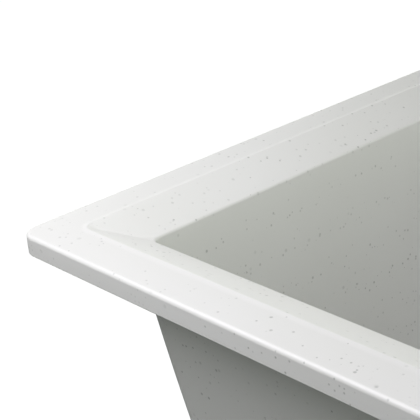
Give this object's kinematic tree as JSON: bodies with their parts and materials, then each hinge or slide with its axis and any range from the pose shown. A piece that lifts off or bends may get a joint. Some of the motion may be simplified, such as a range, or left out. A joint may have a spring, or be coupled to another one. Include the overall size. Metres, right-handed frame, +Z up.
{
  "type": "kitchen sink",
  "caption": "Inset kitchen sink of white speckled composite with bevelled rim, tap deck, lift-out basket strainer, ribbed overflow hose and swinging worktop clips.",
  "frame": {"origin": "centre of the rim's sealing face, in the plane of the worktop", "axes": "+X to the right along the sink's length, +Y to the back where the tap goes, +Z up"},
  "size_m": [0.6, 0.5, 0.2856],
  "materials": {
    "composite": "satin moulded quartz composite with fine grey speckles",
    "foam": "closed-cell sealing foam",
    "brass": "turned brass",
    "zinc_steel": "zinc-plated steel",
    "stainless": "polished stainless steel",
    "white_plastic": "moulded polypropylene",
    "black_plastic": "moulded nylon",
    "black_rubber": "moulded rubber",
    "grey_hose": "flexible ribbed polyethylene"
  },
  "bodies": {
    "sink": {"sink_body": "composite", "rim_seal": "foam", "clip_inserts": "brass", "clip_pivot_screws": "zinc_steel", "strainer_dish": "stainless", "dish_gasket": "foam", "dish_screw": "stainless", "waste_gasket": "black_rubber", "waste_body": "white_plastic", "waste_nut": "brass", "overflow_rose": "stainless", "overflow_screw": "stainless", "overflow_gasket": "foam", "overflow_elbow": "white_plastic", "overflow_hose": "grey_hose", "hose_nut_upper": "white_plastic", "hose_nut_lower": "white_plastic", "hose_washer_upper": "black_rubber", "hose_washer_lower": "black_rubber"},
    "basket": {"basket_cup": "stainless", "basket_post": "stainless", "basket_stopper": "black_rubber"},
    "clip_front_left": {"clip_arm_front_left": "zinc_steel"},
    "clamp_front_left": {"clamp_screw_front_left": "zinc_steel", "clamp_pad_front_left": "black_plastic"},
    "clip_front_right": {"clip_arm_front_right": "zinc_steel"},
    "clamp_front_right": {"clamp_screw_front_right": "zinc_steel", "clamp_pad_front_right": "black_plastic"},
    "clip_back_left": {"clip_arm_back_left": "zinc_steel"},
    "clamp_back_left": {"clamp_screw_back_left": "zinc_steel", "clamp_pad_back_left": "black_plastic"},
    "clip_back_right": {"clip_arm_back_right": "zinc_steel"},
    "clamp_back_right": {"clamp_screw_back_right": "zinc_steel", "clamp_pad_back_right": "black_plastic"},
    "clip_left": {"clip_arm_left": "zinc_steel"},
    "clamp_left": {"clamp_screw_left": "zinc_steel", "clamp_pad_left": "black_plastic"},
    "clip_right": {"clip_arm_right": "zinc_steel"},
    "clamp_right": {"clamp_screw_right": "zinc_steel", "clamp_pad_right": "black_plastic"}
  },
  "joints": [
    {"name": "basket_lift", "type": "slide", "parent": "sink", "child": "basket", "axis": [0, 0, 1], "range_m": [0, 0.06]},
    {"name": "clip_swing_front_left", "type": "hinge", "parent": "sink", "child": "clip_front_left", "pos_m": [-0.075, -0.225, -0.0118], "axis": [0, 0, 1], "range_deg": [-90, 90]},
    {"name": "clamp_travel_front_left", "type": "slide", "parent": "clip_front_left", "child": "clamp_front_left", "axis": [0, 0, 1], "range_m": [-0.006, 0.012]},
    {"name": "clip_swing_front_right", "type": "hinge", "parent": "sink", "child": "clip_front_right", "pos_m": [0.075, -0.225, -0.0118], "axis": [0, 0, 1], "range_deg": [-90, 90]},
    {"name": "clamp_travel_front_right", "type": "slide", "parent": "clip_front_right", "child": "clamp_front_right", "axis": [0, 0, 1], "range_m": [-0.006, 0.012]},
    {"name": "clip_swing_back_left", "type": "hinge", "parent": "sink", "child": "clip_back_left", "pos_m": [-0.165, 0.225, -0.0118], "axis": [0, 0, 1], "range_deg": [-90, 90]},
    {"name": "clamp_travel_back_left", "type": "slide", "parent": "clip_back_left", "child": "clamp_back_left", "axis": [0, 0, 1], "range_m": [-0.006, 0.012]},
    {"name": "clip_swing_back_right", "type": "hinge", "parent": "sink", "child": "clip_back_right", "pos_m": [0.165, 0.225, -0.0118], "axis": [0, 0, 1], "range_deg": [-90, 90]},
    {"name": "clamp_travel_back_right", "type": "slide", "parent": "clip_back_right", "child": "clamp_back_right", "axis": [0, 0, 1], "range_m": [-0.006, 0.012]},
    {"name": "clip_swing_left", "type": "hinge", "parent": "sink", "child": "clip_left", "pos_m": [-0.275, 0, -0.0118], "axis": [0, 0, 1], "range_deg": [-90, 90]},
    {"name": "clamp_travel_left", "type": "slide", "parent": "clip_left", "child": "clamp_left", "axis": [0, 0, 1], "range_m": [-0.006, 0.012]},
    {"name": "clip_swing_right", "type": "hinge", "parent": "sink", "child": "clip_right", "pos_m": [0.275, 0, -0.0118], "axis": [0, 0, 1], "range_deg": [-90, 90]},
    {"name": "clamp_travel_right", "type": "slide", "parent": "clip_right", "child": "clamp_right", "axis": [0, 0, 1], "range_m": [-0.006, 0.012]}
  ]
}
